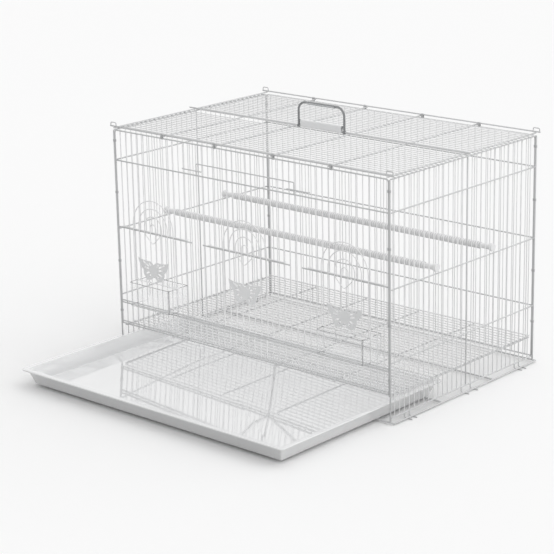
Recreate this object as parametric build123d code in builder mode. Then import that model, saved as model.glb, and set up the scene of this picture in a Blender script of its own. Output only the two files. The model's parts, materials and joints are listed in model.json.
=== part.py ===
from build123d import *
from math import cos, radians, sin
import os

os.makedirs("parts", exist_ok=True)

# Wire flight cage with a slide-out litter tray. Millimetres, +Z up, +Y to the back.
# The origin is on the table, below the centre of the cage's floor.

# Overall sizes, between the centres of the corner posts and of the wall rods
cage_width = 762.0
cage_depth = 492.0
wall_height = 486.0

# Wire sizes
thin_r = 1.1
rod_r = 1.5
post_r = 1.75
base_r = 1.75
rail_r = 1.2
weld_gap = 0.02
butt_gap = 0.1
run_gap = 0.3
wire_end = 1.2

# Spaces between neighbouring thin wires
front_bays = 44
side_bays = 31
top_wire_bays = 36
grate_wire_bays = 34
top_bays = 5

# Heights above the walls' bottom rods
base_drop = 9.3
grate_rise = 45.4
sill_rise = 102.5
side_low_rise = 113.8
side_mid_rise = 264.4
lintel_rise = 270.2
upper_rise = 419.5
rail_rise = 429.6
rail_top_rise = 444.5
perch_rise = 275.8
double_bar_step = 5.0

# Doors
door_wire_pairs = 4
door_bar_reach = 6
feeder_jamb = 3.5
middle_jamb = 4
feeder_bar_reach = 5.5
arch_stilt = 10.0
scroll_r = 0.9
scroll_width = 42.0
scroll_height = 24.0
butterfly_width = 92.0
butterfly_height = 47.0
butterfly_thick = 1.5
butterfly_centre_rise = 189.5
butterfly_slot_width = 3.2

# Slots in a butterfly's right wings: angle, distance from the body and length
butterfly_slots = ((27, 27, 20), (46, 17, 9), (8, 22, 14), (-22, 20, 11), (-48, 18, 9))

# Feeder cups
cup_height = 52.7
cup_flange = 24.1
cup_inside = 37.0
cup_overlap = 0.4
cup_wall = 1.8
cup_corner = 7.0
cup_scoop = 16.0

# Litter tray
tray_side_gap = 8.78
tray_depth = 499.0
tray_height = 33.0
tray_flare = 11.0
tray_wall = 2.0
tray_lip = 9.0
tray_lip_thick = 2.4
tray_lip_skirt = 6.0
tray_corner = 12.0
tray_pull = 310.0

# Perches
perch_r = 7.5
perch_neck_r = 5.5
perch_neck_length = 25.0
perch_collar_r = 8.2
perch_collar_thick = 2.0
perch_core_gap = 0.25
perch_plug_depth = 12.0
perch_bore_gap = 0.1

# Carrying handle
handle_half = 63.5
handle_reach = 52.0
handle_r = 2.5
handle_bend = 19.0
handle_cross = 10.5
handle_cross_r = 2.2
eye_r = 4.0
eye_width = 4.0
pivot_gap = 0.05
strap_half = 57.0
strap_thick = 0.8
grip_half = 38.0
grip_thick = 1.9

# Small fittings
clip_thick = 0.6
clip_width = 5.0
clip_gap = 0.05
clip_side_gap = 2.9
clip_shares = (0.155, 0.39, 0.71, 0.947)
loop_height = 6.5
loop_width = 16.0
loop_bend = 3.0
rod_overhang = 10.0
wire_overhang = 6.0
foot_reach = 20.0
foot_bend = 3.0
base_side_offset = 9.0
rail_half = 136.0
rail_rod_inner = 119.0
rail_bend = 3.0
frame_bend = 6.0
ledge_end_gap = 3.0

# Derived places
half_w = cage_width / 2
half_d = cage_depth / 2
pitch_x = cage_width / front_bays
pitch_y = cage_depth / side_bays
top_pitch = cage_depth / top_wire_bays
bay = cage_width / top_bays
base_z = 2 * thin_r + weld_gap + base_r
wall_low = base_z + base_drop
wall_top = wall_low + wall_height
wall_levels = [wall_low + side_low_rise, wall_low + side_mid_rise, wall_low + upper_rise]
upper_z = wall_low + upper_rise
thin_set = rod_r + thin_r + weld_gap
wire_x = half_w - thin_set
wire_y = half_d - thin_set
jamb_rod_x = half_w - post_r - rod_r - weld_gap
grate_z = wall_low + grate_rise
grate_rod_z = grate_z - thin_set
grate_end_z = grate_rod_z + 2 * rod_r + weld_gap
front_low = grate_end_z + 2 * rod_r + run_gap
sill_z = wall_low + sill_rise
lintel_z = wall_low + lintel_rise
mid_rod_index = 16
mid_rod_y = -half_d + mid_rod_index * pitch_y
mid_rod_x = half_w - 2 * rod_r - weld_gap
feeder_centre = half_w - 6.5 * pitch_x
butterfly_z = wall_low + butterfly_centre_rise


def grid_x(steps):
    """Place of a front or back wire, counted in spaces from the middle of the cage."""
    return steps * pitch_x


def rods_z(points, low, high, radius):
    """Upright round rods at the given x, y places, as separate solids of the current part."""
    with BuildSketch(Plane.XY.offset(low)) as ends:
        with Locations(*points):
            Circle(radius)
    extrude(ends.sketch, amount=high - low)


def rods_x(points, left, right, radius):
    """Round rods along X at the given y, z places."""
    with BuildSketch(Plane.YZ.offset(left)) as ends:
        with Locations(*points):
            Circle(radius)
    extrude(ends.sketch, amount=right - left)


def rods_y(points, front, back, radius):
    """Round rods along Y at the given x, z places."""
    with BuildSketch(Plane.XZ.offset(-back)) as ends:
        with Locations(*points):
            Circle(radius)
    extrude(ends.sketch, amount=back - front)


def bent_wire(plane, corners, bend, radius):
    """One wire bent in a plane through the given corners."""
    with BuildLine(plane) as path:
        FilletPolyline(*corners, radius=bend)
    with BuildSketch(Plane(origin=path.line @ 0, z_dir=path.line % 0)) as section:
        Circle(radius)
    sweep(section.sketch, path=path.line)


def elbow(plane, centre, bend, start_angle, sweep_angle, radius):
    """A piece of round wire bent round a centre that lies in the given plane."""
    with BuildLine(plane) as path:
        CenterArc(centre, bend, start_angle, sweep_angle)
    with BuildSketch(Plane(origin=path.line @ 0, z_dir=path.line % 0)) as section:
        Circle(radius)
    sweep(section.sketch, path=path.line)


# Base: four cross rods that carry the tray, butted on a rod along each side
base_rod_ys = [-half_d, -half_d + cage_depth * 0.32, half_d - cage_depth * 0.32, half_d]
base_side_x = half_w + base_side_offset
base_cross_end = base_side_x - base_r - butt_gap
with BuildPart() as base_frame:
    rods_x([(y, base_z) for y in base_rod_ys], -base_cross_end, base_cross_end, base_r)
    rods_y([(-base_side_x, base_z), (base_side_x, base_z)], -half_d, half_d, base_r)
base_frame.part.label = "base_frame"
export_step(base_frame.part, "parts/base_frame.step")


# Side walls: corner posts on the base rods, rods between the posts, thin uprights inside them
post_low = base_z + base_r + weld_gap
side_rod_zs = [wall_low] + wall_levels + [wall_top]
side_rod_end = half_d - post_r - butt_gap
ledge_x = wire_x - thin_r - rod_r - weld_gap
ledge_z = grate_z - thin_r - run_gap - rod_r
ledge_end = wire_y - thin_r - ledge_end_gap
side_wire_ys = [-half_d + i * pitch_y for i in range(1, side_bays) if i != mid_rod_index]
foot_indices = [(3, 4), (15, 17), (27, 28)]

for side, side_name in ((-1, "left"), (1, "right")):
    with BuildPart() as side_frame:
        rods_z([(side * half_w, -half_d), (side * half_w, half_d)], post_low, wall_top, post_r)
        rods_y([(side * half_w, z) for z in side_rod_zs], -side_rod_end, side_rod_end, rod_r)
        rods_z([(side * mid_rod_x, mid_rod_y)], wall_low - wire_end, wall_top, rod_r)
        rods_y([(side * ledge_x, ledge_z)], -ledge_end, mid_rod_y - rod_r - butt_gap, rod_r)
        rods_y([(side * ledge_x, ledge_z)], mid_rod_y + rod_r + butt_gap, ledge_end, rod_r)
    side_frame.part.label = side_name + "_frame"
    export_step(side_frame.part, "parts/" + side_name + "_frame.step")

    with BuildPart() as side_bars:
        rods_z([(side * wire_x, y) for y in side_wire_ys], wall_low - wire_end, wall_top, thin_r)
    side_bars.part.label = side_name + "_bars"
    export_step(side_bars.part, "parts/" + side_name + "_bars.step")

    # Feet: pairs of wall wires go on down and bend out under the base's side rod
    with BuildPart() as side_feet:
        for pair in foot_indices:
            for index in pair:
                foot_y = -half_d + index * pitch_y
                foot_top = wall_low - wire_end - butt_gap
                foot_end = wire_x + foot_reach
                corners = [(side * wire_x, foot_top), (side * wire_x, thin_r), (side * foot_end, thin_r)]
                bent_wire(Plane.XZ.offset(-foot_y), corners, foot_bend, thin_r)
    side_feet.part.label = side_name + "_feet"
    export_step(side_feet.part, "parts/" + side_name + "_feet.step")


# Back wall
wall_bar_end = jamb_rod_x - rod_r - butt_gap
top_bar_end = jamb_rod_x - frame_bend - butt_gap
side_rod_top = wall_top - frame_bend - butt_gap
wall_plane_back = Plane.XZ.offset(-half_d)
wall_plane_front = Plane.XZ.offset(half_d)


def wall_corners(plane):
    """Rounded top corners of a front or back wall."""
    corner_z = wall_top - frame_bend
    corner_x = jamb_rod_x - frame_bend
    elbow(plane, (corner_x, corner_z), frame_bend, 0, 90, rod_r)
    elbow(plane, (-corner_x, corner_z), frame_bend, 90, 90, rod_r)


with BuildPart() as back_frame:
    rods_x([(half_d, z) for z in [wall_low] + wall_levels], -wall_bar_end, wall_bar_end, rod_r)
    rods_x([(half_d, wall_top)], -top_bar_end, top_bar_end, rod_r)
    rods_z([(-jamb_rod_x, half_d), (jamb_rod_x, half_d)], wall_low - rod_r, side_rod_top, rod_r)
    wall_corners(wall_plane_back)
back_frame.part.label = "back_frame"
export_step(back_frame.part, "parts/back_frame.step")

wall_wire_steps = [i - front_bays // 2 for i in range(1, front_bays)]
with BuildPart() as back_bars:
    places = [(grid_x(i), wire_y) for i in wall_wire_steps]
    rods_z(places, wall_low - wire_end, wall_top + wire_end, thin_r)
back_bars.part.label = "back_bars"
export_step(back_bars.part, "parts/back_bars.step")


# Front wall: it ends above the grate, and has three openings between its sill and lintel rods
door_centres = {"left": -feeder_centre, "middle": 0.0, "right": feeder_centre}
jamb_steps = {"left": feeder_jamb, "middle": middle_jamb, "right": feeder_jamb}
bar_steps = {"left": feeder_bar_reach, "middle": door_bar_reach, "right": feeder_bar_reach}


def in_opening(x):
    """True for a wire that would cross one of the three openings."""
    near = pitch_x / 4
    return any(abs(x - door_centres[d]) < jamb_steps[d] * pitch_x - near for d in door_centres)


whole_xs = [grid_x(i) for i in wall_wire_steps if not in_opening(grid_x(i))]
cut_xs = [grid_x(i) for i in wall_wire_steps if in_opening(grid_x(i))]
with BuildPart() as front_bars:
    rods_z([(x, -wire_y) for x in whole_xs], front_low - wire_end, wall_top + wire_end, thin_r)
    rods_z([(x, -wire_y) for x in cut_xs], front_low - wire_end, sill_z + wire_end, thin_r)
    rods_z([(x, -wire_y) for x in cut_xs], lintel_z - wire_end, wall_top + wire_end, thin_r)
front_bars.part.label = "front_bars"
export_step(front_bars.part, "parts/front_bars.step")

lintel_end = pitch_x + wire_end
outer_lintel_end = feeder_centre - (feeder_bar_reach * pitch_x + lintel_end)
middle_lintel_end = door_bar_reach * pitch_x + lintel_end
full_bar_zs = [front_low, front_low + double_bar_step, sill_z - double_bar_step, sill_z, upper_z]
with BuildPart() as front_frame:
    rods_x([(-half_d, z) for z in full_bar_zs], -wall_bar_end, wall_bar_end, rod_r)
    rods_x([(-half_d, wall_top)], -top_bar_end, top_bar_end, rod_r)
    rods_x([(-half_d, lintel_z)], -wall_bar_end, -outer_lintel_end, rod_r)
    rods_x([(-half_d, lintel_z)], -middle_lintel_end, middle_lintel_end, rod_r)
    rods_x([(-half_d, lintel_z)], outer_lintel_end, wall_bar_end, rod_r)
    rods_z([(-jamb_rod_x, -half_d), (jamb_rod_x, -half_d)], front_low - rod_r, side_rod_top, rod_r)
    wall_corners(wall_plane_front)
front_frame.part.label = "front_frame"
export_step(front_frame.part, "parts/front_frame.step")


# Wire rail at the top of the front wall: a bridge on the upper rod and a hooked rod at each end
rail_y = wire_y + thin_r + rail_r + weld_gap
rail_rod_y = rail_y + 2 * rail_r + weld_gap
rail_rod_end = 10 * pitch_x + thin_r + rail_r + weld_gap
with BuildPart() as front_rail:
    bridge_foot = upper_z + rod_r + butt_gap
    bridge_top = wall_low + rail_top_rise
    bridge = [(-rail_half, bridge_foot), (-rail_half, bridge_top)]
    bridge += [(rail_half, bridge_top), (rail_half, bridge_foot)]
    bent_wire(Plane.XZ.offset(rail_y), bridge, rail_bend, rail_r)
    for side in (-1, 1):
        hook = [(side * rail_rod_inner, -rail_rod_y), (side * rail_rod_end, -rail_rod_y)]
        hook += [(side * rail_rod_end, -wire_y)]
        bent_wire(Plane.XY.offset(wall_low + rail_rise), hook, rail_bend * 0.8, rail_r)
front_rail.part.label = "front_rail"
export_step(front_rail.part, "parts/front_rail.step")


# Top panel: thin wires on the wall tops, rods from front to back on them, long rods on those
top_wire_z = wall_top + rod_r + thin_r + weld_gap
top_rod_z = top_wire_z + thin_r + rod_r + weld_gap
long_rod_z = top_rod_z + 2 * rod_r + weld_gap
top_rod_xs = [-half_w + i * bay for i in range(1, top_bays)]
top_rim_x = half_w - 2 * rod_r
top_wire_ys = [-half_d + i * top_pitch for i in range(1, top_wire_bays) if i != top_wire_bays // 2]
with BuildPart() as top_frame:
    frame_xs = [-top_rim_x] + top_rod_xs + [top_rim_x]
    rods_y([(x, top_rod_z) for x in frame_xs], -half_d - 2 * rod_r, half_d + 2 * rod_r, rod_r)
    long_end = half_w + rod_overhang
    rods_x([(y, long_rod_z) for y in (-half_d, 0, half_d)], -long_end, long_end, rod_r)
top_frame.part.label = "top_frame"
export_step(top_frame.part, "parts/top_frame.step")

with BuildPart() as top_bars:
    wire_reach = half_w + wire_overhang
    rods_x([(y, top_wire_z) for y in top_wire_ys], -wire_reach, wire_reach, thin_r)
top_bars.part.label = "top_bars"
export_step(top_bars.part, "parts/top_bars.step")


# Loops at the four top corners, each bent up from a long rod's end
loop_foot = long_rod_z + rod_r + weld_gap
loop_top = long_rod_z + rod_r + loop_height
with BuildPart() as corner_loops:
    for side in (-1, 1):
        inner_x = side * (half_w - loop_width / 2)
        outer_x = side * (half_w + loop_width / 2)
        loop = [(inner_x, loop_foot), (inner_x, loop_top), (outer_x, loop_top), (outer_x, loop_foot)]
        bent_wire(wall_plane_front, loop, loop_bend, thin_r)
        bent_wire(wall_plane_back, loop, loop_bend, thin_r)
corner_loops.part.label = "corner_loops"
export_step(corner_loops.part, "parts/corner_loops.step")


# Strip clips: a band round two rods that lie side by side
def strip_clip(plane, first, second, radius):
    """A crimped band round two rods, wide as the current clip width, along the plane's normal."""
    with BuildSketch(plane) as band:
        with BuildSketch(mode=Mode.PRIVATE) as outside:
            with Locations(first, second):
                Circle(radius + clip_gap + clip_thick)
            make_hull()
        with BuildSketch(mode=Mode.PRIVATE) as inside:
            with Locations(first, second):
                Circle(radius + clip_gap)
            make_hull()
        add(outside.sketch)
        add(inside.sketch, mode=Mode.SUBTRACT)
    extrude(band.sketch, amount=clip_width)


clip_zs = [wall_low + wall_height * share for share in clip_shares]
with BuildPart() as corner_clips:
    for z in clip_zs:
        for side in (-1, 1):
            for end in (-1, 1):
                post = (side * half_w, end * half_d)
                rod = (side * jamb_rod_x, end * half_d)
                strip_clip(Plane.XY.offset(z), post, rod, post_r)
corner_clips.part.label = "corner_clips"
export_step(corner_clips.part, "parts/corner_clips.step")

with BuildPart() as top_clips:
    for x in top_rod_xs:
        clip_x = x + clip_side_gap if x > 0 else x - clip_side_gap - clip_width
        for end in (-1, 1):
            long_rod = (end * half_d, long_rod_z)
            wall_rod = (end * half_d, wall_top)
            strip_clip(Plane.YZ.offset(clip_x), long_rod, wall_rod, rod_r)
top_clips.part.label = "top_clips"
export_step(top_clips.part, "parts/top_clips.step")


# Floor grate: it slides forward on the ledges of the side walls
grate_half_w = mid_rod_x - rod_r - run_gap - butt_gap
grate_half_d = wire_y - thin_r - run_gap - rod_r
grate_pitch = 2 * grate_half_d / grate_wire_bays
grate_side_x = ledge_x - 2 * rod_r - 2 * run_gap
with BuildPart() as grate_frame:
    grate_xs = [-grate_side_x] + top_rod_xs + [grate_side_x]
    rods_y([(x, grate_rod_z) for x in grate_xs], -grate_half_d, grate_half_d, rod_r)
grate_frame.part.label = "grate_frame"
export_step(grate_frame.part, "parts/grate_frame.step")

with BuildPart() as grate_bars:
    grate_ys = [-grate_half_d + i * grate_pitch for i in range(1, grate_wire_bays)]
    rods_x([(y, grate_z) for y in grate_ys], -grate_half_w, grate_half_w, thin_r)
    end_ys = (-grate_half_d, grate_half_d)
    rods_x([(y, grate_end_z) for y in end_ys], -grate_half_w, grate_half_w, rod_r)
grate_bars.part.label = "grate_bars"
export_step(grate_bars.part, "parts/grate_bars.step")


# Guillotine doors: nested wires that run up and over as arches, on a hooked crossbar
door_y = half_d + rod_r + run_gap + thin_r
cross_y = door_y - 2 * thin_r - weld_gap
cross_z = lintel_z + rod_r + run_gap + thin_r
hook_r = cross_y - wire_y
door_bottoms = {
    "left": sill_z + rod_r + run_gap + cup_height + 2 * run_gap + thin_r,
    "middle": sill_z + rod_r + run_gap + thin_r,
    "right": sill_z + rod_r + run_gap + cup_height + 2 * run_gap + thin_r,
}


def door_hook(x, z, side):
    """Half ring of wire round a jamb wire, from the door's bar to behind the jamb wire."""
    elbow(Plane.XY.offset(z), (x, -wire_y), hook_r, -90 * side, 180, thin_r)


def butterfly_half():
    """Right half of a plain butterfly outline, as lines of the current sketch."""
    w = butterfly_width / 2
    h = butterfly_height / 2
    top = (0, 0.5 * h)
    shoulder = (0.36 * w, 0.8 * h)
    tip = (w, h)
    waist = (0.68 * w, -0.12 * h)
    low = (0.58 * w, -0.72 * h)
    tail = (0.36 * w, -h)
    seat = (0, -0.5 * h)
    ThreePointArc(top, (0.16 * w, 0.76 * h), shoulder)
    ThreePointArc(shoulder, (0.68 * w, 0.83 * h), tip)
    ThreePointArc(tip, (0.9 * w, 0.36 * h), waist)
    ThreePointArc(waist, (0.68 * w, -0.42 * h), low)
    ThreePointArc(low, (0.5 * w, -0.93 * h), tail)
    ThreePointArc(tail, (0.13 * w, -0.82 * h), seat)
    Line(seat, top)


for name, centre in door_centres.items():
    bottom = door_bottoms[name]
    guide = jamb_steps[name] * pitch_x
    reach = bar_steps[name] * pitch_x
    front = Plane.XZ.offset(door_y)

    with BuildPart() as door:
        for pair in range(door_wire_pairs):
            radius = (pair + 0.5) * pitch_x
            with BuildLine(front) as path:
                spring = cross_z + arch_stilt
                Line((centre - radius, bottom - wire_end), (centre - radius, spring))
                CenterArc((centre, spring), radius, 180, -180)
                Line((centre + radius, spring), (centre + radius, bottom - wire_end))
            with BuildSketch(Plane(origin=path.line @ 0, z_dir=path.line % 0)) as section:
                Circle(thin_r)
            sweep(section.sketch, path=path.line)
        rods_x([(-cross_y, cross_z)], centre - reach + butt_gap, centre + reach - butt_gap, thin_r)
        rods_x([(-cross_y, bottom)], centre - guide + butt_gap, centre + guide - butt_gap, thin_r)
        for side in (-1, 1):
            door_hook(centre + side * reach, cross_z, side)
            door_hook(centre + side * guide, bottom, side)
    door.part.label = name + "_door"
    export_step(door.part, "parts/" + name + "_door.step")

    # Tulip-shaped scroll below the crossbar, in front of the door wires
    scroll_y = door_y + thin_r + scroll_r + weld_gap
    with BuildPart() as scroll:
        for side in (-1, 1):
            root = (centre + side * (scroll_r + butt_gap), cross_z - scroll_height)
            lip = (centre + side * scroll_width / 2, cross_z - scroll_height * 0.25)
            belly = (centre + side * scroll_width * 0.22, cross_z - scroll_height * 0.72)
            curl = (centre + side * scroll_width * 0.36, cross_z - scroll_height * 0.12)
            crown = (centre + side * scroll_width * 0.45, cross_z - scroll_height * 0.08)
            with BuildLine(Plane.XZ.offset(scroll_y)) as path:
                ThreePointArc(root, belly, lip)
                ThreePointArc(lip, crown, curl)
            with BuildSketch(Plane(origin=path.line @ 0, z_dir=path.line % 0)) as section:
                Circle(scroll_r)
            sweep(section.sketch, path=path.line, transition=Transition.ROUND)
    scroll.part.label = name + "_scroll"
    export_step(scroll.part, "parts/" + name + "_scroll.step")

    # Pierced butterfly plate on the front of the door wires
    plate_plane = Plane(
        origin=(centre, -door_y - thin_r - weld_gap, butterfly_z), x_dir=(1, 0, 0), z_dir=(0, -1, 0)
    )
    with BuildPart() as butterfly:
        with BuildSketch(plate_plane):
            with BuildLine():
                butterfly_half()
            make_face()
            for angle, reach, length in butterfly_slots:
                spot = (reach * cos(radians(angle)), reach * sin(radians(angle)))
                with Locations(Location(spot, angle)):
                    SlotOverall(length, butterfly_slot_width, mode=Mode.SUBTRACT)
            mirror(about=Plane.YZ)
        extrude(amount=butterfly_thick)
    butterfly.part.label = name + "_butterfly"
    export_step(butterfly.part, "parts/" + name + "_butterfly.step")


# Feeder cups: a wide part outside the jamb wires and a narrower part that goes in between them
cup_z = sill_z + rod_r + run_gap
cup_shoulder_y = -(wire_y + thin_r + run_gap)
cup_front_y = cup_shoulder_y - cup_flange
cup_back_y = cup_shoulder_y + cup_inside
cup_outer_half = feeder_jamb * pitch_x + cup_overlap
cup_inner_half = feeder_jamb * pitch_x - thin_r - cup_overlap
for name in ("left", "right"):
    centre = door_centres[name]
    with BuildPart() as cup:
        with BuildSketch(Plane.XY.offset(cup_z)) as plan:
            with Locations((centre, (cup_front_y + cup_shoulder_y) / 2)):
                Rectangle(2 * cup_outer_half, cup_flange)
            with Locations((centre, (cup_front_y + cup_back_y) / 2)):
                Rectangle(2 * cup_inner_half, cup_back_y - cup_front_y)
            fillet(plan.vertices().group_by(Axis.Y)[0], radius=cup_corner)
        extrude(amount=cup_height)
        back_edge = cup.edges().group_by(Axis.Z)[0].sort_by(Axis.Y)[-1]
        fillet(back_edge, radius=cup_scoop)
        cup_rims = cup.faces().sort_by(Axis.Z)[-1]
        offset(amount=-cup_wall, openings=cup_rims)
    cup.part.label = name + "_cup"
    export_step(cup.part, "parts/" + name + "_cup.step")


# Litter tray: flared walls and a flat lip with a short turned-down skirt
tray_z = base_z + base_r + run_gap
tray_width = 2 * (wire_x - thin_r - tray_side_gap)
tray_front_y = -half_d - tray_pull
tray_mid_y = tray_front_y + tray_depth / 2
body_width = tray_width - 2 * tray_lip
body_depth = tray_depth - 2 * tray_lip
with BuildPart() as tray:
    with BuildSketch(Plane.XY.offset(tray_z)):
        with Locations((0, tray_mid_y)):
            RectangleRounded(body_width - 2 * tray_flare, body_depth - 2 * tray_flare, tray_corner)
    with BuildSketch(Plane.XY.offset(tray_z + tray_height)):
        with Locations((0, tray_mid_y)):
            RectangleRounded(body_width, body_depth, tray_corner)
    loft()
    with BuildSketch(Plane.XY.offset(tray_z + tray_height - tray_lip_skirt)):
        with Locations((0, tray_mid_y)):
            RectangleRounded(tray_width, tray_depth, tray_corner + tray_lip)
            RectangleRounded(tray_width - 2 * tray_lip_thick, tray_depth - 2 * tray_lip_thick,
                             tray_corner + tray_lip - tray_lip_thick, mode=Mode.SUBTRACT)
    extrude(amount=tray_lip_skirt)
    with BuildSketch(Plane.XY.offset(tray_z + tray_height - tray_lip_thick)):
        with Locations((0, tray_mid_y)):
            RectangleRounded(tray_width, tray_depth, tray_corner + tray_lip)
    extrude(amount=tray_lip_thick)
    flare_at_floor = tray_flare * tray_wall / tray_height
    with BuildSketch(Plane.XY.offset(tray_z + tray_wall)):
        with Locations((0, tray_mid_y)):
            inner_w = body_width - 2 * tray_flare - 2 * tray_wall + 2 * flare_at_floor
            inner_d = body_depth - 2 * tray_flare - 2 * tray_wall + 2 * flare_at_floor
            RectangleRounded(inner_w, inner_d, tray_corner - tray_wall)
    with BuildSketch(Plane.XY.offset(tray_z + tray_height)):
        with Locations((0, tray_mid_y)):
            RectangleRounded(body_width - 2 * tray_wall, body_depth - 2 * tray_wall, tray_corner - tray_wall)
    loft(mode=Mode.SUBTRACT)
tray.part.label = "tray"
export_step(tray.part, "parts/tray.step")


# Perches: a rod between the side walls, with a plugged end that sits between two side wires
perch_z = wall_low + perch_rise
perch_ys = {"front": -6 * pitch_y, "rear": 6 * pitch_y}
wire_face = wire_x - thin_r
collar_in = wire_face - run_gap
collar_out = wire_x + thin_r + run_gap
perch_end = collar_in - perch_collar_thick - perch_neck_length
core_r = pitch_y / 2 - thin_r - perch_core_gap
bore_r = perch_neck_r + perch_bore_gap
for name, y in perch_ys.items():
    with BuildPart() as perch:
        rods_x([(y, perch_z)], -perch_end, perch_end, perch_r)
        for side in (-1, 1):
            with BuildSketch(Plane.YZ.offset(side * perch_end)) as socket:
                with Locations((y, perch_z)):
                    Circle(bore_r)
            extrude(socket.sketch, amount=-side * (perch_plug_depth + run_gap), mode=Mode.SUBTRACT)
    perch.part.label = name + "_perch"
    export_step(perch.part, "parts/" + name + "_perch.step")

    with BuildPart() as perch_ends:
        with BuildSketch(Plane.XZ.offset(-y)):
            with BuildLine():
                plug_in = perch_end - perch_plug_depth
                tip = collar_out + perch_collar_thick
                outline = [
                    (plug_in, perch_z),
                    (plug_in, perch_z + perch_neck_r),
                    (collar_in - perch_collar_thick, perch_z + perch_neck_r),
                    (collar_in - perch_collar_thick, perch_z + perch_collar_r),
                    (collar_in, perch_z + perch_collar_r),
                    (collar_in, perch_z + core_r),
                    (collar_out, perch_z + core_r),
                    (collar_out, perch_z + perch_collar_r),
                    (tip, perch_z + perch_collar_r),
                    (tip, perch_z),
                ]
                Polyline(*outline, close=True)
            make_face()
        revolve(axis=Axis((0, y, perch_z), (1, 0, 0)))
        mirror(about=Plane.YZ)
    perch_ends.part.label = name + "_perch_ends"
    export_step(perch_ends.part, "parts/" + name + "_perch_ends.step")


# Carrying handle: a wire loop with an eye at each foot, turning on the top's middle long rod
pivot_z = long_rod_z
with BuildPart() as handle_loop:
    leg_foot = pivot_z + rod_r + pivot_gap + 0.5 * (eye_r - rod_r)
    arch = [(-handle_half, leg_foot), (-handle_half, pivot_z + handle_reach)]
    arch += [(handle_half, pivot_z + handle_reach), (handle_half, leg_foot)]
    bent_wire(Plane.XZ, arch, handle_bend, handle_r)
    rods_x([(0, pivot_z + handle_cross)], -handle_half, handle_half, handle_cross_r)
    for side in (-1, 1):
        with BuildSketch(Plane.YZ.offset(side * handle_half - eye_width / 2)) as eye:
            with Locations((0, pivot_z)):
                Circle(eye_r)
        extrude(eye.sketch, amount=eye_width)
        with BuildSketch(Plane.YZ.offset(side * handle_half - eye_width)) as bore:
            with Locations((0, pivot_z)):
                Circle(rod_r + pivot_gap)
        extrude(bore.sketch, amount=2 * eye_width, mode=Mode.SUBTRACT)
handle_loop.part.label = "handle_loop"
export_step(handle_loop.part, "parts/handle_loop.step")

with BuildPart() as handle_strap:
    for extra, action in ((strap_thick, Mode.ADD), (0, Mode.SUBTRACT)):
        with BuildSketch(Plane.YZ.offset(-strap_half)) as fold:
            with Locations((0, pivot_z)):
                Circle(rod_r + pivot_gap + extra)
            with Locations((0, pivot_z + handle_cross)):
                Circle(handle_cross_r + pivot_gap + extra)
            make_hull()
        extrude(fold.sketch, amount=2 * strap_half, mode=action)
handle_strap.part.label = "handle_strap"
export_step(handle_strap.part, "parts/handle_strap.step")

with BuildPart() as handle_grip:
    with BuildSketch(Plane.YZ.offset(-grip_half)) as sheath:
        with Locations((0, pivot_z + handle_reach)):
            Circle(handle_r + grip_thick)
            Circle(handle_r + pivot_gap, mode=Mode.SUBTRACT)
        with Locations((0, pivot_z + handle_reach + handle_r + grip_thick)):
            Rectangle(4 * handle_r, 2 * (handle_r + grip_thick), mode=Mode.SUBTRACT)
    extrude(sheath.sketch, amount=2 * grip_half)
handle_grip.part.label = "handle_grip"
export_step(handle_grip.part, "parts/handle_grip.step")
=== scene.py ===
"""Wire flight cage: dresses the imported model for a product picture. Metres, in the row frame."""

import json
import math

import bpy
from mathutils import Euler, Matrix, Vector


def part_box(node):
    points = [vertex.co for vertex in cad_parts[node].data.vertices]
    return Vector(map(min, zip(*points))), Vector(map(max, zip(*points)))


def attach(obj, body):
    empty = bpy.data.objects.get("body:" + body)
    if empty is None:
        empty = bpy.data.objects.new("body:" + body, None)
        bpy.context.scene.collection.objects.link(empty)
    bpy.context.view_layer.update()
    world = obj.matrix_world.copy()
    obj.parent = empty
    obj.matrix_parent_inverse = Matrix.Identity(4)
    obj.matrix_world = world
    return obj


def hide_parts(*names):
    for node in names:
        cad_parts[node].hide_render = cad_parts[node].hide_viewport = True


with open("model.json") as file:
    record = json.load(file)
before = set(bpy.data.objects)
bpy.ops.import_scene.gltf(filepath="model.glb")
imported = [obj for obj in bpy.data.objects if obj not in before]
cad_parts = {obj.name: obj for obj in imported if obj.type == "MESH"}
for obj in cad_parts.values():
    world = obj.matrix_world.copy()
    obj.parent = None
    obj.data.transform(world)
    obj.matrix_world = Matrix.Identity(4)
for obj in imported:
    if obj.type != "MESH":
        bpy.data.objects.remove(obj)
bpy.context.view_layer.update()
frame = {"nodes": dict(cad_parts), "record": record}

bl_info = {
    "name": "Wire Flight Cage",
    "version": (1, 0, 0),
    "blender": (4, 5, 0),
    "location": "View3D > Sidebar > Cage",
    "description": "Builds the coated wires, tray, perches and studio of a wire flight cage",
    "category": "Add Mesh",
}

# Wire panels, each a frame of rods and a row of thin wires; the base has rods alone
PANELS = {
    "front": ("front_frame", "front_bars"),
    "back": ("back_frame", "back_bars"),
    "left": ("left_frame", "left_bars"),
    "right": ("right_frame", "right_bars"),
    "top": ("top_frame", "top_bars"),
    "base": ("base_frame",),
    "grate": ("grate_frame", "grate_bars"),
}
DOOR_SIDES = ("left", "middle", "right")


# Sizes and colours that a user would change


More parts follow.
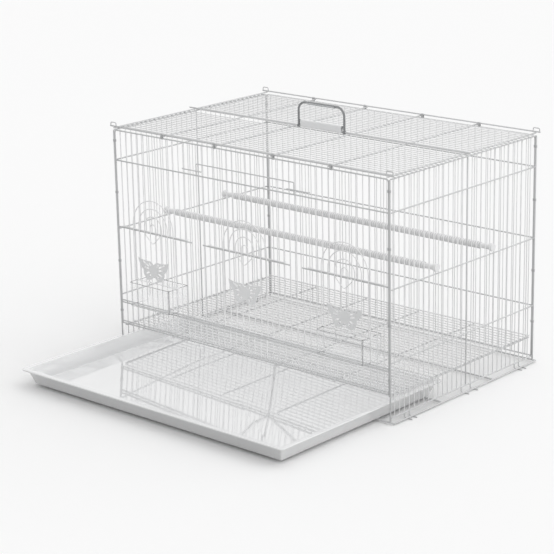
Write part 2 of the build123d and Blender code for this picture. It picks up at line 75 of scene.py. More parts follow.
class CageSizes(bpy.types.PropertyGroup):
    """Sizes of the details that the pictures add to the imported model"""

    wire_sides: bpy.props.IntProperty(
        name="Wire Sides", description="Faces round each wire", default=14, min=6
    )
    tip_round: bpy.props.FloatProperty(
        name="Tip Rounding", description="Share of the radius by which a cut wire end is rounded",
        default=0.45, min=0.0, max=1.0, subtype="FACTOR",
    )
    frame_bend: bpy.props.FloatProperty(
        name="Corner Bend", description="Bend of the front and back walls' top corners",
        default=0.006, unit="LENGTH",
    )
    weld_reach: bpy.props.FloatProperty(
        name="Weld Reach", description="Widest gap between crossing wires that a weld joins",
        default=0.00008, unit="LENGTH", precision=5,
    )
    weld_share: bpy.props.FloatProperty(
        name="Weld Size", description="Radius of a weld as a share of the thinner wire's radius",
        default=0.95, min=0.0,
    )
    tray_lip: bpy.props.FloatProperty(
        name="Tray Lip", description="Width of the tray's flat lip", default=0.009, unit="LENGTH"
    )
    tray_skirt: bpy.props.FloatProperty(
        name="Tray Skirt", description="Height of the lip's turned-down edge",
        default=0.0034, unit="LENGTH",
    )
    tray_lip_thick: bpy.props.FloatProperty(
        name="Lip Thickness", description="Thickness of the tray's lip",
        default=0.0018, unit="LENGTH",
    )
    tray_flare: bpy.props.FloatProperty(
        name="Tray Flare", description="How far the tray's walls lean out",
        default=0.011, unit="LENGTH",
    )
    tray_wall: bpy.props.FloatProperty(
        name="Tray Wall", description="Thickness of the tray's walls", default=0.002, unit="LENGTH"
    )
    tray_corner: bpy.props.FloatProperty(
        name="Tray Corner", description="Corner radius of the tray's lip",
        default=0.008, unit="LENGTH",
    )
    rib_pitch: bpy.props.FloatProperty(
        name="Rib Pitch", description="Space between a perch's ribs", default=0.0055, unit="LENGTH"
    )
    rib_depth: bpy.props.FloatProperty(
        name="Rib Depth", description="Depth of the grooves between the ribs",
        default=0.0009, unit="LENGTH", precision=5,
    )


class CageLook(bpy.types.PropertyGroup):
    """Colours and finish of the materials"""

    # Painted shade: the rods and thin wires have one white coat; the rods' colour is a darker copy
    # that stands in for shade
    wire: bpy.props.FloatVectorProperty(
        name="Rods", description="Colour of the coat on the thick rods", subtype="COLOR",
        size=3, default=(0.66, 0.665, 0.67),
    )
    thin: bpy.props.FloatVectorProperty(
        name="Thin Wires", description="Colour of the coat on the thin wires", subtype="COLOR",
        size=3, default=(0.93, 0.93, 0.935),
    )
    strip: bpy.props.FloatVectorProperty(
        name="Strip", description="Colour of the strip clips", subtype="COLOR",
        size=3, default=(0.55, 0.555, 0.56),
    )
    plate: bpy.props.FloatVectorProperty(
        name="Butterfly", description="Colour of the butterfly plates", subtype="COLOR",
        size=3, default=(0.88, 0.885, 0.89),
    )
    tray: bpy.props.FloatVectorProperty(
        name="Tray", description="Colour of the tray's plastic", subtype="COLOR",
        size=3, default=(0.82, 0.825, 0.83),
    )
    cup: bpy.props.FloatVectorProperty(
        name="Cup", description="Tint of the clear cups", subtype="COLOR",
        size=3, default=(0.92, 0.93, 0.94),
    )
    # Painted shade: the dark lines painted along the clear cups' rims and corners
    cup_edge_shade: bpy.props.FloatVectorProperty(
        name="Cup Edge", description="Colour that the clear cups show along their edges",
        subtype="COLOR", size=3, default=(0.10, 0.10, 0.11),
    )
    perch: bpy.props.FloatVectorProperty(
        name="Perch", description="Colour of the perches", subtype="COLOR",
        size=3, default=(0.90, 0.90, 0.905),
    )
    plug: bpy.props.FloatVectorProperty(
        name="Plug", description="Colour of the perch ends", subtype="COLOR",
        size=3, default=(0.88, 0.88, 0.885),
    )
    steel: bpy.props.FloatVectorProperty(
        name="Handle", description="Colour of the plated handle", subtype="COLOR",
        size=3, default=(0.28, 0.285, 0.29),
    )
    strap: bpy.props.FloatVectorProperty(
        name="Strap", description="Colour of the handle's folded strap", subtype="COLOR",
        size=3, default=(0.88, 0.885, 0.89),
    )
    grip: bpy.props.FloatVectorProperty(
        name="Grip", description="Colour of the grip strip", subtype="COLOR",
        size=3, default=(0.62, 0.63, 0.64),
    )


class CageStudio(bpy.types.PropertyGroup):
    """Camera, floor and light"""

    azimuth: bpy.props.FloatProperty(
        name="Azimuth", description="Camera's turn from the front towards the right",
        default=math.radians(42.0195), subtype="ANGLE",
    )
    elevation: bpy.props.FloatProperty(
        name="Elevation", description="Camera's height angle", default=math.radians(16.4624),
        subtype="ANGLE",
    )
    roll: bpy.props.FloatProperty(
        name="Roll", description="Camera's roll", default=math.radians(-1.1618), subtype="ANGLE"
    )
    distance: bpy.props.FloatProperty(
        name="Distance", description="Camera's distance from its target",
        default=4.1701, unit="LENGTH",
    )
    target: bpy.props.FloatVectorProperty(
        name="Target", description="Point that the camera looks at", subtype="TRANSLATION",
        size=3, default=(-0.06626, -0.07715, 0.18459),
    )
    lens: bpy.props.FloatProperty(
        name="Lens", description="Focal length on a 36 mm sensor", default=124.975, unit="CAMERA"
    )
    floor_white: bpy.props.FloatProperty(
        name="Floor White", description="How white the floor is",
        default=0.955, min=0.0, max=1.0, subtype="FACTOR",
    )
    floor_bounce: bpy.props.FloatProperty(
        name="Floor Bounce", description="How much light the floor throws back up",
        default=0.42, min=0.0, max=1.0, subtype="FACTOR",
    )
    sky: bpy.props.FloatProperty(
        name="Sky", description="Strength of the soft light from all round",
        default=1.21, min=0.0,
    )
    key: bpy.props.FloatProperty(
        name="Key", description="Strength of the soft light from above", default=0.15, min=0.0
    )


# Shader graphs


class Sock:
    """A value in a shader graph. Python's operators on it make Math nodes."""

    def __init__(self, graph, socket):
        self.graph = graph
        self.socket = socket

    def _math(self, operation, *values):
        return self.graph.add("ShaderNodeMath", {"operation": operation}, dict(enumerate(values)))

    def __add__(self, other):
        return self._math("ADD", self, other)

    def __radd__(self, other):
        return self._math("ADD", other, self)

    def __sub__(self, other):
        return self._math("SUBTRACT", self, other)

    def __rsub__(self, other):
        return self._math("SUBTRACT", other, self)

    def __mul__(self, other):
        return self._math("MULTIPLY", self, other)

    def __rmul__(self, other):
        return self._math("MULTIPLY", other, self)

    def __truediv__(self, other):
        return self._math("DIVIDE", self, other)

    def __rtruediv__(self, other):
        return self._math("DIVIDE", other, self)

    def __pow__(self, other):
        return self._math("POWER", self, other)

    def __rpow__(self, other):
        return self._math("POWER", other, self)

    def fraction(self):
        """What is left of the value past the whole number below it."""
        return self._math("FRACT", self)

    def absolute(self):
        """The value without its sign."""
        return self._math("ABSOLUTE", self)

    def clamp(self):
        """The value held between 0 and 1."""
        return self._math("MAXIMUM", self._math("MINIMUM", self, 1.0), 0.0)


class Graph:
    """One material's or world's node tree."""

    def __init__(self, tree):
        self.tree = tree
        self.tree.nodes.clear()

    def add(self, kind, settings=None, inputs=None, output=0):
        """Adds a node, sets its settings and inputs, and returns the named output."""
        node = self.tree.nodes.new(kind)
        for key, value in (settings or {}).items():
            setattr(node, key, value)
        for key, value in (inputs or {}).items():
            if isinstance(value, Sock):
                self.tree.links.new(value.socket, node.inputs[key])
            else:
                node.inputs[key].default_value = value
        if not node.outputs:
            return None
        return Sock(self, node.outputs[output])

    def position(self):
        """Place on the object, in metres."""
        return self.add("ShaderNodeTexCoord", output="Object")

    def axis(self, name):
        """Place on the object along X, Y or Z, in metres."""
        return self.add("ShaderNodeSeparateXYZ", None, {"Vector": self.position()}, name)

    def noise(self, scale, detail=3.0, roughness=0.5):
        """Noise from 0 to 1, with cells of about 1 / scale metres."""
        place = self.position()
        inputs = {"Vector": place, "Scale": scale, "Detail": detail, "Roughness": roughness}
        return self.add("ShaderNodeTexNoise", {"noise_dimensions": "3D"}, inputs, "Fac")

    def blend(self, factor, first, second):
        """Colour between two colours."""
        inputs = {"Factor": factor, 6: (*first, 1.0), 7: (*second, 1.0)}
        return self.add("ShaderNodeMix", {"data_type": "RGBA"}, inputs, 2)

    def bump(self, height, strength, distance):
        """Normal for a height from 0 to 1 over a distance in metres."""
        inputs = {"Height": height, "Strength": strength, "Distance": distance}
        return self.add("ShaderNodeBump", None, inputs, "Normal")


def shaded(colour, share):
    """A colour scaled by a share."""
    return tuple(min(1.0, channel * share) for channel in colour)


def seen_ray(graph):
    """1 for what the camera sees, directly, mirrored or through clear plastic, and 0 for light."""
    camera = graph.add("ShaderNodeLightPath", output="Is Camera Ray")
    glossy = graph.add("ShaderNodeLightPath", output="Is Glossy Ray")
    through = graph.add("ShaderNodeLightPath", output="Is Transmission Ray")
    return (camera + glossy + through).clamp()


def surface(name, build):
    """A material whose Principled inputs come from build(graph)."""
    material = bpy.data.materials.new(name)
    material.use_nodes = True
    graph = Graph(material.node_tree)
    shader = graph.add("ShaderNodeBsdfPrincipled", None, build(graph), "BSDF")
    graph.add("ShaderNodeOutputMaterial", None, {"Surface": shader})
    return material


def powder_coat(name, colour, roughness, grain=1400.0):
    """Baked powder coat: fine orange peel, a little duller in places."""

    def build(graph):
        peel = graph.noise(grain, detail=2.0)
        patch = graph.noise(28.0, detail=4.0)
        return {
            "Base Color": graph.blend(patch, shaded(colour, 0.94), shaded(colour, 1.05)),
            "Roughness": (roughness - 0.06 + patch * 0.14).clamp(),
            "Coat Weight": (patch * 0.25 + 0.12).clamp(),
            "Coat Roughness": 0.18,
            "Normal": graph.bump(peel, strength=0.22, distance=0.00012),
        }

    return surface(name, build)


def moulded(name, colour, roughness, coat, gloss=1.5, texture=0.03):
    """Moulded plastic with a faint flow pattern and fine texture; gloss is the coat's IOR."""

    def build(graph):
        flow = graph.noise(9.0, detail=3.0)
        fine = graph.noise(900.0, detail=2.0)
        return {
            "Base Color": graph.blend(flow, shaded(colour, 0.97), shaded(colour, 1.02)),
            "Roughness": (roughness - 0.02 + flow * 0.05).clamp(),
            "Coat Weight": coat,
            "Coat Roughness": 0.015,
            "Coat IOR": gloss,
            "Normal": graph.bump(fine, strength=texture, distance=0.0001),
        }

    return surface(name, build)


def rib_spacing(node, pitch):
    """How many whole ribs fit along a perch, and the length that each one takes."""
    low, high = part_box(node)
    length = high.x - low.x
    count = int(length / pitch)
    return count, length / count


def ribbed(name, colour, pitch):
    """Moulded plastic with ribs along X, and painted shade darkening the grooves between them."""
    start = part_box("front_perch")[0].x
    step = rib_spacing("front_perch", pitch)[1]

    def build(graph):
        fine = graph.noise(900.0, detail=2.0)
        phase = ((graph.axis("X") - start) / step).fraction()
        groove = ((phase - 0.5).absolute() * 2.0) ** 3.0
        return {
            # Painted shade: the grooves are darkened to 0.62 of the perch colour
            "Base Color": graph.blend(groove, colour, shaded(colour, 0.62)),
            "Roughness": (fine * 0.10 + 0.36).clamp(),
            "Coat Weight": 0.2,
            "Coat Roughness": 0.10,
            "Normal": graph.bump(fine, strength=0.04, distance=0.0001),
        }

    return surface(name, build)


def clear_plastic(name, colour, painted_edge_shade):
    """Clear thin plastic for the cups, with painted shade: dark lines painted along its rim and
    corners, where clear plastic looks dark.
    """
    low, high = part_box("right_cup")
    middle = (low.x + high.x) / 2
    corner = 0.0045
    rim = 0.0013

    def build(graph):
        scuff = graph.noise(320.0, detail=4.0, roughness=0.7)
        x, y, z = (graph.axis(name) for name in "XYZ")
        across = (x.absolute() - middle).absolute()
        side = ((across - (high.x - middle)) / corner + 1.0).clamp()
        front = ((low.y - y) / corner + 1.0).clamp()
        back = ((y - high.y) / corner + 1.0).clamp()
        top = ((z - high.z) / rim + 1.0).clamp()
        foot = ((low.z - z) / rim + 1.0).clamp()
        # Painted shade: mask of the rim and corners, made dark and less clear
        upright = (side * front * 4.0 - 0.40).clamp() + side * back
        edge = (upright + top + foot * (side + front)).clamp()
        return {
            "Base Color": graph.blend(edge, colour, painted_edge_shade),
            "Roughness": (scuff ** 3.0) * 0.22 + 0.05,
            "Alpha": (edge * 0.85 + scuff * 0.06 + 0.03).clamp(),
            "Coat Weight": 1.0,
            "Coat Roughness": 0.04,
        }

    return surface(name, build)


def plated(name, colour, roughness):
    """Bright plated wire with drawing marks."""

    def build(graph):
        cloud = graph.noise(60.0, detail=3.0)
        fine = graph.noise(1600.0, detail=2.0)
        return {
            "Base Color": graph.blend(cloud, shaded(colour, 0.92), shaded(colour, 1.06)),
            "Metallic": 1.0,
            "Roughness": (roughness + cloud * 0.10).clamp(),
            "Normal": graph.bump(fine, strength=0.06, distance=0.0001),
        }

    return surface(name, build)


def materials(scene):
    """The cage's materials by slot, made once."""
    look = scene.cage_look
    polish = {"roughness": 0.03, "coat": 1.0, "gloss": 2.8, "texture": 0.004}
    recipes = {
        # The wire slot's coat is the thin wires' white, darkened as painted shade on the rods
        "wire": ("wire_coat", powder_coat, look.wire, {"roughness": 0.38}),
        "thin": ("thin_coat", powder_coat, look.thin, {"roughness": 0.38}),
        "clip": ("strip_coat", powder_coat, look.strip, {"roughness": 0.34}),
        "plate": ("plate_coat", powder_coat, look.plate, {"roughness": 0.42, "grain": 900.0}),
        "clear_cup": ("clear_styrene", clear_plastic, look.cup, {"painted_edge_shade": look.cup_edge_shade}),
        "tray": ("tray_gloss", moulded, look.tray, polish),
        "perch": ("perch_ribs", ribbed, look.perch, {"pitch": scene.cage_sizes.rib_pitch}),
        "perch_end": ("plug_white", moulded, look.plug, {"roughness": 0.36, "coat": 0.15}),
        "handle": ("bright_plate", plated, look.steel, {"roughness": 0.16}),
        "strap": ("strap_grey", moulded, look.strap, {"roughness": 0.45, "coat": 0.1}),
        "grip": ("grip_grey", moulded, look.grip, {"roughness": 0.42, "coat": 0.1}),
    }
    made = bpy.data.materials
    return {
        slot: made.get(name) or recipe(name, colour, **values)
        for slot, (name, recipe, colour, values) in recipes.items()
    }


# Mesh helpers


def finish_piece(obj, slot, body, *nodes):
    """Gives a new piece its finish and its body, and hides the CAD nodes it stands for."""
    if not obj.data.materials:
        obj.data.materials.append(materials(bpy.context.scene)[slot])
    bpy.context.scene.collection.objects.link(obj)
    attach(obj, body)
    if nodes:
        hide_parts(*nodes)
    return obj


def mesh_object(name, verts, faces, crease=40.0):
    """A mesh object shaded smooth up to the crease angle in degrees."""
    mesh = bpy.data.meshes.new(name)
    mesh.from_pydata(verts, [], faces)
    mesh.validate()
    mesh.shade_smooth()
    mesh.set_sharp_from_angle(angle=math.radians(crease))
    return bpy.data.objects.new(name, mesh)


def solid_boxes(node):
    """(low, high) corners of each separate solid in a CAD node."""
    per_metre = 1e5
    source = frame["nodes"][node]
    keys = {}
    labels = []
    for vertex in source.data.vertices:
        place = source.matrix_world @ vertex.co
        key = tuple(round(c * per_metre) for c in place)
        labels.append(keys.setdefault(key, len(keys)))
    places = [None] * len(keys)
    for key, label in keys.items():
        places[label] = Vector(key) / per_metre
    parent = list(range(len(keys)))

    def root(i):
        while parent[i] != i:
            parent[i] = parent[parent[i]]
            i = parent[i]
        return i

    # Corners that share a face belong to one solid
    for polygon in source.data.polygons:
        first = root(labels[polygon.vertices[0]])
        for v in polygon.vertices[1:]:
            parent[root(labels[v])] = first
    boxes = {}
    for label, place in enumerate(places):
        low, high = boxes.setdefault(root(label), (place.copy(), place.copy()))
        for axis in range(3):
            low[axis] = min(low[axis], place[axis])
            high[axis] = max(high[axis], place[axis])
    return list(boxes.values())


def straight_wires(node):
    """(start, end, radius) of each straight wire in a CAD node; bent ones are left out."""
    round_within = 0.0004
    wires = []
    for low, high in solid_boxes(node):
        size = high - low
        axis = max(range(3), key=lambda i: size[i])
        across = sorted(size[i] for i in range(3) if i != axis)
        if across[1] - across[0] > round_within:
            continue
        start = (low + high) / 2
        end = start.copy()
        start[axis] = low[axis]
        end[axis] = high[axis]
        wires.append((start, end, across[0] / 2))
    return wires


class Wirework:
    """Collects round wires and welds into one mesh. Its finish is 0 for rods, which take the
    darker copy of the white coat as painted shade, and 1 for thin wires.
    """

    def __init__(self, sizes):
        self.sides = sizes.wire_sides
        self.tip = sizes.tip_round
        self.verts = []
        self.faces = []
        self.finish = 0
        self.finishes = []

    def _ring(self, centre, u, v, radius):
        first = len(self.verts)
        for i in range(self.sides):
            angle = 2 * math.pi * i / self.sides
            out = u * (radius * math.cos(angle)) + v * (radius * math.sin(angle))
            self.verts.append(centre + out)
        return first

    def _face(self, *corners):
        self.faces.append(corners)
        self.finishes.append(self.finish)

    def _bridge(self, a, b):
        for i in range(self.sides):
            j = (i + 1) % self.sides
            self._face(a + i, a + j, b + j, b + i)

    def wire(self, points, radius):
        """A wire along points, with rounded ends."""
        end_inset = 0.7  # of the cut, taken off the end face's radius
        ahead = (points[1] - points[0]).normalized()
        upright = abs(ahead.z) >= 0.9
        side = Vector((0, 1, 0)) if upright else Vector((0, 0, 1))
        u = ahead.cross(side).normalized()
        v = ahead.cross(u)
        cut = radius * self.tip
        end_radius = radius - cut * end_inset
        last_step = (points[-1] - points[-2]).normalized()
        rings = [(points[0], u, v, end_radius), (points[0] + ahead * cut, u, v, radius)]
        for i in range(1, len(points) - 1):
            back = (points[i] - points[i - 1]).normalized()
            on = (points[i + 1] - points[i]).normalized()
            turn = back.rotation_difference(on)
            half = back.rotation_difference((back + on).normalized())
            rings.append((points[i], half @ u, half @ v, radius))
            u = turn @ u
            v = turn @ v
        rings.append((points[-1] - last_step * cut, u, v, radius))
        rings.append((points[-1], u, v, end_radius))
        firsts = [self._ring(*ring) for ring in rings]
        for a, b in zip(firsts, firsts[1:]):
            self._bridge(a, b)
        self._face(*(firsts[0] + i for i in reversed(range(self.sides))))
        self._face(*(firsts[-1] + i for i in range(self.sides)))

    def weld(self, centre, radius, around=8, along=4):
        """A small bead of fused metal."""
        first = len(self.verts)
        self.verts.append(centre + Vector((0, 0, radius)))
        for i in range(1, along):
            polar = math.pi * i / along
            for j in range(around):
                turn = 2 * math.pi * j / around
                flat = radius * math.sin(polar)
                offset = (flat * math.cos(turn), flat * math.sin(turn), radius * math.cos(polar))
                self.verts.append(centre + Vector(offset))
        self.verts.append(centre - Vector((0, 0, radius)))
        last = len(self.verts) - 1
        for j in range(around):
            k = (j + 1) % around
            self._face(first, first + 1 + j, first + 1 + k)
            for i in range(along - 2):
                a = first + 1 + i * around
                self._face(a + j, a + around + j, a + around + k, a + k)
            a = first + 1 + (along - 2) * around
            self._face(last, a + k, a + j)

    def build(self, name):
        """The mesh object, not yet linked."""
        obj = mesh_object(name, self.verts, self.faces, crease=50.0)
        obj.data.polygons.foreach_set("material_index", self.finishes)
        return obj


def weld_places(rods, wires, reach):
    """(place, radius) where a wire of one list touches a crossing wire of the other, once each."""
    square_within = 0.1
    found = []
    for i, (start, end, radius) in enumerate(rods):
        run = (end - start).normalized()
        for w_start, w_end, w_radius in (rods[i + 1:] if wires is rods else wires):
            w_run = (w_end - w_start).normalized()
            if abs(run.dot(w_run)) > square_within:
                continue
            across = run.cross(w_run)
            gap = (w_start - start).dot(across)
            if abs(gap) > radius + w_radius + reach:
                continue
            along = (w_start - start).dot(run)
            w_along = (start - w_start).dot(w_run)
            inside = -radius <= along <= (end - start).length + radius
            if inside and -w_radius <= w_along <= (w_end - w_start).length + w_radius:
                place = start + run * along + across * (gap * radius / (radius + w_radius))
                found.append((place, min(radius, w_radius)))
    return found


def arc(centre, radius, first, last, across, up, steps=10):
    """Points on an arc in the plane of across and up, between two angles."""
    points = []
    for i in range(steps + 1):
        angle = first + (last - first) * i / steps
        out = across * (radius * math.cos(angle)) + up * (radius * math.sin(angle))
        points.append(centre + out)
    return points


def wall_hoop(node, bend):
    """Centre line of a wall's outer rod: up one side, over the top and down the other."""
    low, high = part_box(node)
    radius = (high.y - low.y) / 2
    y = (low.y + high.y) / 2
    left, right = low.x + radius, high.x - radius
    top = high.z - radius
    across = Vector((1, 0, 0))
    up = Vector((0, 0, 1))
    points = [Vector((left, y, low.z))]
    points += arc(Vector((left + bend, y, top - bend)), bend, math.pi, math.pi / 2, across, up)
    points += arc(Vector((right - bend, y, top - bend)), bend, math.pi / 2, 0.0, across, up)
    points.append(Vector((right, y, low.z)))
    return points, radius


def on_hoop(wire, points):
    """Whether a CAD rod is one of the outer three that a wall's bent hoop stands for."""
    start, end, radius = wire
    upright = abs(end.z - start.z) > abs(end.x - start.x)
    if upright:
        return abs(abs(start.x) - abs(points[0].x)) < radius
    return abs(start.z - max(point.z for point in points)) < radius


def build_panel(name, body, sizes, nodes, hoop=False):
    """One wire panel: smooth wires in place of the CAD ones, and a weld at each crossing."""
    rows = [straight_wires(node) for node in nodes]
    drawn = list(rows)
    work = Wirework(sizes)
    if hoop:
        points, hoop_radius = wall_hoop(nodes[0], sizes.frame_bend)
        work.wire(points, hoop_radius)
        drawn[0] = [wire for wire in rows[0] if not on_hoop(wire, points)]
    # Slot 0 holds the rods' darker copy of the coat, which is painted shade; slot 1 holds the thin
    # wires' white
    for finish, row in enumerate(drawn):
        work.finish = finish
        for start, end, radius in row:
            work.wire([start, end], radius)
    places = weld_places(rows[0], rows[-1], sizes.weld_reach)
    if len(rows) > 1:
        places += weld_places(rows[0], rows[0], sizes.weld_reach)
    for place, radius in places:
        work.weld(place, radius * sizes.weld_share)
    panel = work.build(name + "_wires")
    made = materials(bpy.context.scene)
    for slot in ("wire", "thin"):
        panel.data.materials.append(made[slot])
    return finish_piece(panel, "wire", body, *nodes)


def lathe_x(name, profile, centre, sides=28):
    """A turned piece about an X axis, from (x, radius) pairs."""
    verts = []
    faces = []
    for x, radius in profile:
        for i in range(sides):
            angle = 2 * math.pi * i / sides
            offset = Vector((x, radius * math.cos(angle), radius * math.sin(angle)))
            verts.append(centre + offset)
    for ring in range(len(profile) - 1):
        a, b = ring * sides, (ring + 1) * sides
        for i in range(sides):
            j = (i + 1) % sides
            faces.append((a + i, a + j, b + j, b + i))
    faces.append(tuple(reversed(range(sides))))
    faces.append(tuple(range(len(verts) - sides, len(verts))))
    return mesh_object(name, verts, faces, crease=35.0)


def lofted(name, rings):
    """A closed skin through rings of equal length, capped at both ends."""
    count = len(rings[0])
    verts = [place for ring in rings for place in ring]
    faces = []
    for r in range(len(rings) - 1):
        a, b = r * count, (r + 1) * count
        for i in range(count):
            j = (i + 1) % count
            faces.append((a + i, a + j, b + j, b + i))
    faces.append(tuple(reversed(range(count))))
    faces.append(tuple(range(len(verts) - count, len(verts))))
    return mesh_object(name, verts, faces, crease=50.0)


def rounded_box(centre, half_x, half_y, radius, z, steps=6):
    """Points round a level rectangle with rounded corners."""
    signs = ((-1, -1), (1, -1), (1, 1), (-1, 1))
    corners = [Vector((centre.x + sx * half_x, centre.y + sy * half_y)) for sx, sy in signs]
    points = []
    for i, corner in enumerate(corners):
        to_before = (corners[i - 1] - corner).normalized()
        to_after = (corners[(i + 1) % 4] - corner).normalized()
        middle = corner + (to_before + to_after) * radius
        for step in range(steps + 1):
            turn = step / steps * math.pi / 2
            along = to_after * (radius * math.cos(turn))
            back = to_before * (radius * math.sin(turn))
            place = middle - along - back
            points.append(Vector((place.x, place.y, z)))
    return points


# Operators, one for each piece or group of like pieces


class CAGE_OT_panels(bpy.types.Operator):
    """Build the walls, the top panel and the base from coated wire"""

    bl_idname = "cage.panels"
    bl_label = "Wire Panels"

    def execute(self, context):
        sizes = context.scene.cage_sizes
        for side in ("front", "back"):
            build_panel(side, "cage", sizes, PANELS[side], hoop=True)
        for side in ("left", "right", "top", "base"):
            build_panel(side, "cage", sizes, PANELS[side])
        return {"FINISHED"}


class CAGE_OT_grate(bpy.types.Operator):
    """Build the floor grate that slides over the tray"""

    bl_idname = "cage.grate"
    bl_label = "Floor Grate"

    def execute(self, context):
        build_panel("grate", "grate", context.scene.cage_sizes, PANELS["grate"])
        return {"FINISHED"}


class CAGE_OT_tray(bpy.types.Operator):
    """Build the litter tray with its flared walls and turned-down lip"""

    bl_idname = "cage.tray"
    bl_label = "Litter Tray"

    def profile(self, sizes, height):
        """(inset, height) pairs from under the floor, over the lip and down to the floor."""
        lip, flare, wall = sizes.tray_lip, sizes.tray_flare, sizes.tray_wall
        thick, skirt = sizes.tray_lip_thick, sizes.tray_skirt
        edge = 0.0006  # rounding of the lip's edges
        fillet = 0.0016  # between the walls and the floor
        fillet_steps = 6
        lean = flare / height

        def outer(z):
            return lip + flare - lean * z

        def inner(z):
            return outer(z) + wall

        pairs = [(outer(0) + 2 * edge, 0.0), (outer(edge) + 0.3 * edge, 0.3 * edge)]
        pairs += [(outer(edge), 1.2 * edge), (outer(height - thick), height - thick)]
        pairs += [(thick + edge, height - thick), (thick, height - thick - 0.4 * edge)]
        pairs += [(thick, height - skirt + 0.5 * edge), (thick - 0.5 * edge, height - skirt)]
        pairs += [(0.5 * edge, height - skirt), (0.0, height - skirt + 0.5 * edge)]
        pairs += [(0.0, height - 1.6 * edge), (0.45 * edge, height - 0.45 * edge)]
        pairs += [(1.6 * edge, height), (lip + 0.2 * edge, height)]
        pairs += [(inner(height), height - 0.5 * edge)]
        pairs += [(inner(height - 2 * edge), height - 2 * edge)]
        for step in range(fillet_steps + 1):
            turn = step / fillet_steps * math.pi / 2
            inset = inner(wall + fillet) + fillet * (1 - math.cos(turn))
            pairs.append((inset, wall + fillet * (1 - math.sin(turn))))
        return pairs

    def execute(self, context):
        sizes = context.scene.cage_sizes
        low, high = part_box("tray")
        centre = (low + high) / 2
        half = (high - low) / 2
        least_corner = 0.003
        rings = []
        for inset, z in self.profile(sizes, high.z - low.z):
            radius = max(least_corner, sizes.tray_corner - inset)
            ring = rounded_box(centre, half.x - inset, half.y - inset, radius, low.z + z)
            rings.append(ring)
        finish_piece(lofted("tray_body_skin", rings), "tray", "tray_body", "tray")
        return {"FINISHED"}


class CAGE_OT_perches(bpy.types.Operator):
    """Build the two ribbed perches"""

    bl_idname = "cage.perches"
    bl_label = "Perches"

    def execute(self, context):
        sizes = context.scene.cage_sizes
        rise = 0.16
        for place in ("front", "rear"):
            low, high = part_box(place + "_perch")
            centre = (low + high) / 2
            radius = (high.z - low.z) / 2
            half = (high.x - low.x) / 2
            groove = radius - sizes.rib_depth
            shoulder = radius - 0.1 * sizes.rib_depth
            ribs, step = rib_spacing(place + "_perch", sizes.rib_pitch)
            profile = []
            for i in range(ribs):
                x = -half + i * step
                profile += [(x, groove), (x + rise * step, shoulder)]
                profile += [(x + 0.5 * step, radius), (x + (1 - rise) * step, shoulder)]
            profile.append((half, groove))
            skin = lathe_x(place + "_perch_ribs", profile, Vector((0.0, centre.y, centre.z)))
            finish_piece(skin, "perch", "cage", place + "_perch")
        return {"FINISHED"}


class CAGE_OT_carried(bpy.types.Operator):
    """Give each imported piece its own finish"""

    bl_idname = "cage.carried"
    bl_label = "Finish Small Parts"

    def execute(self, context):
        made = materials(context.scene)
        slots = {part["node"]: part["material_slot"] for part in frame["record"]["subparts"]}
        thin = {side + part for side in DOOR_SIDES for part in ("_door", "_scroll")}
        for node, obj in frame["nodes"].items():
            obj.data.materials.clear()
            # Door wires take the thin wires' white; pieces in the wire slot take its darker copy,
            # which is painted shade
            obj.data.materials.append(made["thin" if node in thin else slots[node]])
        return {"FINISHED"}


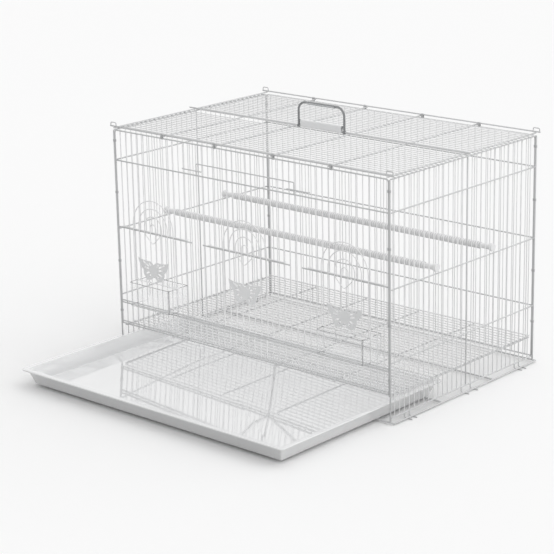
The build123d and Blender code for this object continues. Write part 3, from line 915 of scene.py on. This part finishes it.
class CAGE_OT_stage(bpy.types.Operator):
    """Set up the pale floor, the soft light and the camera"""

    bl_idname = "cage.stage"
    bl_label = "Studio"

    def execute(self, context):
        scene = context.scene
        studio = scene.cage_studio
        scene.view_settings.view_transform = "Standard"
        scene.view_settings.look = "None"
        self.floor(scene, studio)
        self.light(scene, studio)
        self.world(scene, studio)
        self.camera(scene, studio)
        return {"FINISHED"}

    def floor(self, scene, studio):
        """A wide pale floor just below the feet."""
        reach = 30.0
        depth = -0.0003
        verts = [(-reach, -reach, depth), (reach, -reach, depth)]
        verts += [(reach, reach, depth), (-reach, reach, depth)]
        ground = mesh_object("studio_floor", verts, [(0, 1, 2, 3)])
        material = bpy.data.materials.new("studio_floor")
        material.use_nodes = True
        graph = Graph(material.node_tree)
        dim = (studio.floor_bounce,) * 3
        tone = graph.blend(seen_ray(graph), dim, (studio.floor_white,) * 3)
        paint = graph.add("ShaderNodeBsdfDiffuse", None, {"Color": tone}, "BSDF")
        graph.add("ShaderNodeOutputMaterial", None, {"Surface": paint})
        ground.data.materials.append(material)
        scene.collection.objects.link(ground)

    def light(self, scene, studio):
        """A broad key light from above, behind and to the right."""
        softness = math.radians(38.0)
        from_back, from_right = math.radians(-24.0), math.radians(30.0)
        data = bpy.data.lights.new("key_light", "SUN")
        data.energy = studio.key
        data.angle = softness
        lamp = bpy.data.objects.new("key_light", data)
        lamp.rotation_euler = Euler((from_back, from_right, 0.0))
        scene.collection.objects.link(lamp)

    def world(self, scene, studio):
        """White to the eye and in reflections, softer as light."""
        white = (0.97, 0.97, 0.97, 1.0)
        even, from_right, from_back = 0.80, 0.35, 0.25
        world = bpy.data.worlds.new("studio_world")
        scene.world = world
        world.use_nodes = True
        graph = Graph(world.node_tree)
        seen = graph.add("ShaderNodeBackground", None, {"Color": white, "Strength": 1.0})
        way = graph.add("ShaderNodeTexCoord", output="Generated")
        side = graph.add("ShaderNodeSeparateXYZ", None, {"Vector": way}, "X")
        depth = graph.add("ShaderNodeSeparateXYZ", None, {"Vector": way}, "Y")
        strength = (side * from_right + depth * from_back + even) * studio.sky
        inputs = {"Color": (1, 1, 1, 1), "Strength": strength}
        sky = graph.add("ShaderNodeBackground", None, inputs)
        mixed = graph.add("ShaderNodeMixShader", None, {0: seen_ray(graph), 1: sky, 2: seen})
        graph.add("ShaderNodeOutputWorld", None, {"Surface": mixed})

    def camera(self, scene, studio):
        """The camera at the photograph's viewpoint."""
        az, el, roll = studio.azimuth, studio.elevation, studio.roll
        away = Vector((math.sin(az) * math.cos(el), -math.cos(az) * math.cos(el), math.sin(el)))
        level = Vector((math.cos(az), math.sin(az), 0.0))
        rise = away.cross(level)
        right = level * math.cos(roll) + rise * math.sin(roll)
        up = rise * math.cos(roll) - level * math.sin(roll)
        data = bpy.data.cameras.new("photo_camera")
        data.lens = studio.lens
        data.sensor_width = 36.0
        data.clip_end = 100.0
        camera = bpy.data.objects.new("photo_camera", data)
        turn = Matrix((right, up, away)).transposed()
        place = Vector(studio.target) + away * studio.distance
        camera.matrix_world = Matrix.Translation(place) @ turn.to_4x4()
        scene.collection.objects.link(camera)
        scene.camera = camera


OPERATORS = (
    CAGE_OT_panels,
    CAGE_OT_grate,
    CAGE_OT_tray,
    CAGE_OT_perches,
    CAGE_OT_carried,
    CAGE_OT_stage,
)


class CAGE_PT_panel(bpy.types.Panel):
    """Steps that build the cage, in order"""

    bl_idname = "CAGE_PT_panel"
    bl_label = "Wire Flight Cage"
    bl_space_type = "VIEW_3D"
    bl_region_type = "UI"
    bl_category = "Cage"

    def draw(self, context):
        for operator in OPERATORS:
            self.layout.operator(operator.bl_idname)
        scene = context.scene
        for group in (scene.cage_sizes, scene.cage_look, scene.cage_studio):
            box = self.layout.box()
            for name in group.bl_rna.properties.keys():
                if name not in ("rna_type", "name"):
                    box.prop(group, name)


CLASSES = (CageSizes, CageLook, CageStudio, *OPERATORS, CAGE_PT_panel)


def register():
    for cls in CLASSES:
        bpy.utils.register_class(cls)
    bpy.types.Scene.cage_sizes = bpy.props.PointerProperty(type=CageSizes)
    bpy.types.Scene.cage_look = bpy.props.PointerProperty(type=CageLook)
    bpy.types.Scene.cage_studio = bpy.props.PointerProperty(type=CageStudio)


def unregister():
    del bpy.types.Scene.cage_studio
    del bpy.types.Scene.cage_look
    del bpy.types.Scene.cage_sizes
    for cls in reversed(CLASSES):
        bpy.utils.unregister_class(cls)


def main():
    register()
    bpy.ops.cage.panels()
    bpy.ops.cage.grate()
    bpy.ops.cage.tray()
    bpy.ops.cage.perches()
    bpy.ops.cage.carried()
    bpy.ops.cage.stage()


if __name__ == "__main__":
    main()
